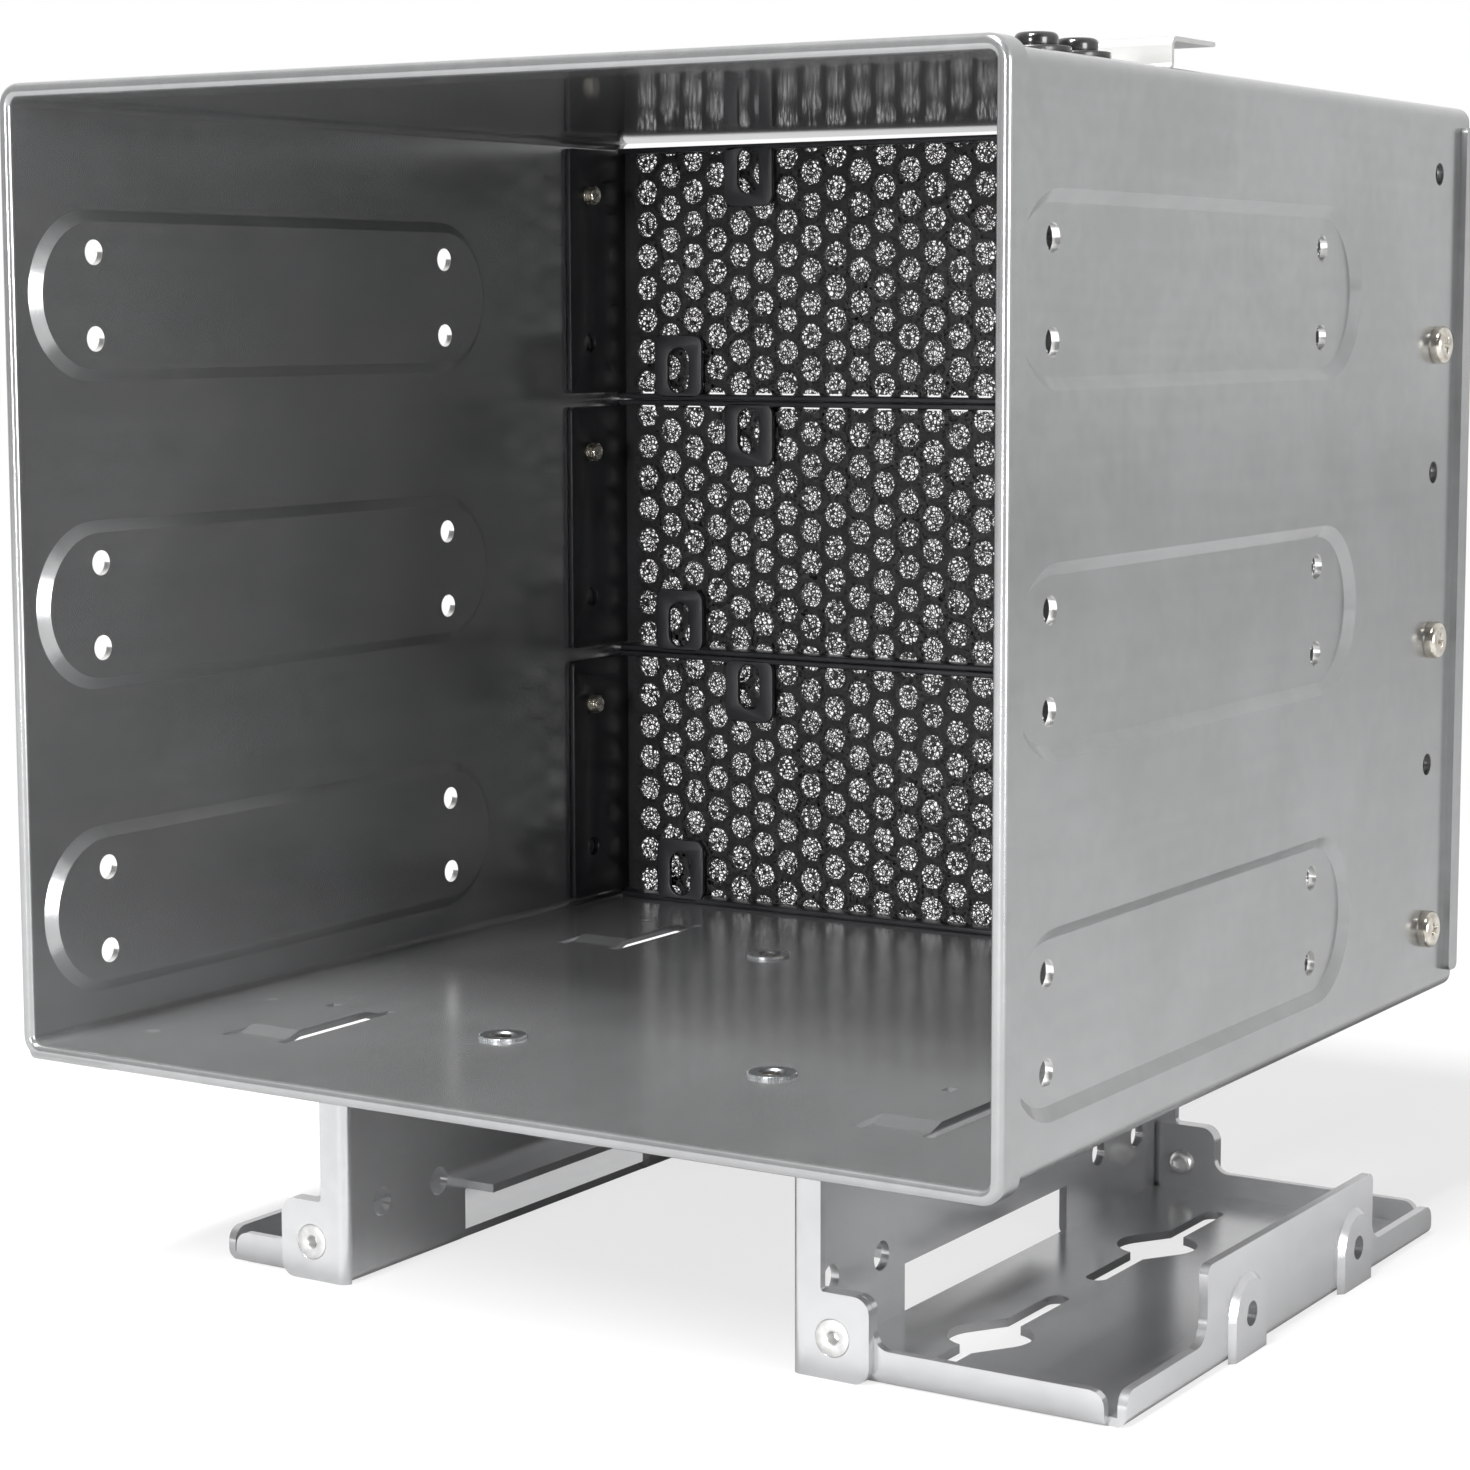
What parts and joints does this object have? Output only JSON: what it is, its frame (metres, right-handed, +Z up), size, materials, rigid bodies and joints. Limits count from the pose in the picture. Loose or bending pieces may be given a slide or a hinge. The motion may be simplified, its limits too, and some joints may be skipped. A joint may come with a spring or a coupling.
{
  "type": "drive mounting frame",
  "caption": "Folded steel cage that holds stacked full-width drives, with vented foam-backed bay covers at the rear and two riveted feet.",
  "frame": {"origin": "on the plane the feet stand on, under the middle of the cage", "axes": "+X to the side of the wide foot, +Y from the open front to the vented rear, +Z up"},
  "size_m": [0.1594, 0.1458, 0.1672],
  "materials": {
    "zinc_steel": "zinc-plated rolled sheet, faint grain",
    "foot_steel": "zinc-plated rolled sheet",
    "black_steel": "black fine powder coat",
    "filter_foam": "black open-cell filter foam",
    "nickel_screw": "nickel-plated",
    "nut_steel": "plated, knurled rim",
    "rivet_steel": "bright plated",
    "spring_steel": "thin bright sheet",
    "black_washer": "black, satin",
    "black_screw": "black, glossy"
  },
  "bodies": {
    "root": {"cage_shell": "zinc_steel", "bay_cover_bottom": "black_steel", "bay_cover_middle": "black_steel", "bay_cover_top": "black_steel", "foam_filter_bottom": "filter_foam", "foam_filter_middle": "filter_foam", "foam_filter_top": "filter_foam", "cover_screws_left": "nickel_screw", "cover_screws_right": "nickel_screw", "press_nuts_left": "nut_steel", "press_nuts_right": "nut_steel", "foot_bracket_left": "foot_steel", "foot_bracket_right": "foot_steel", "foot_rivets_left": "rivet_steel", "foot_rivets_right": "rivet_steel", "foot_screws_left": "nickel_screw", "foot_screws_right": "nickel_screw", "top_bracket": "spring_steel", "top_bracket_washers": "black_washer", "top_bracket_screws": "black_screw"}
  },
  "joints": []
}
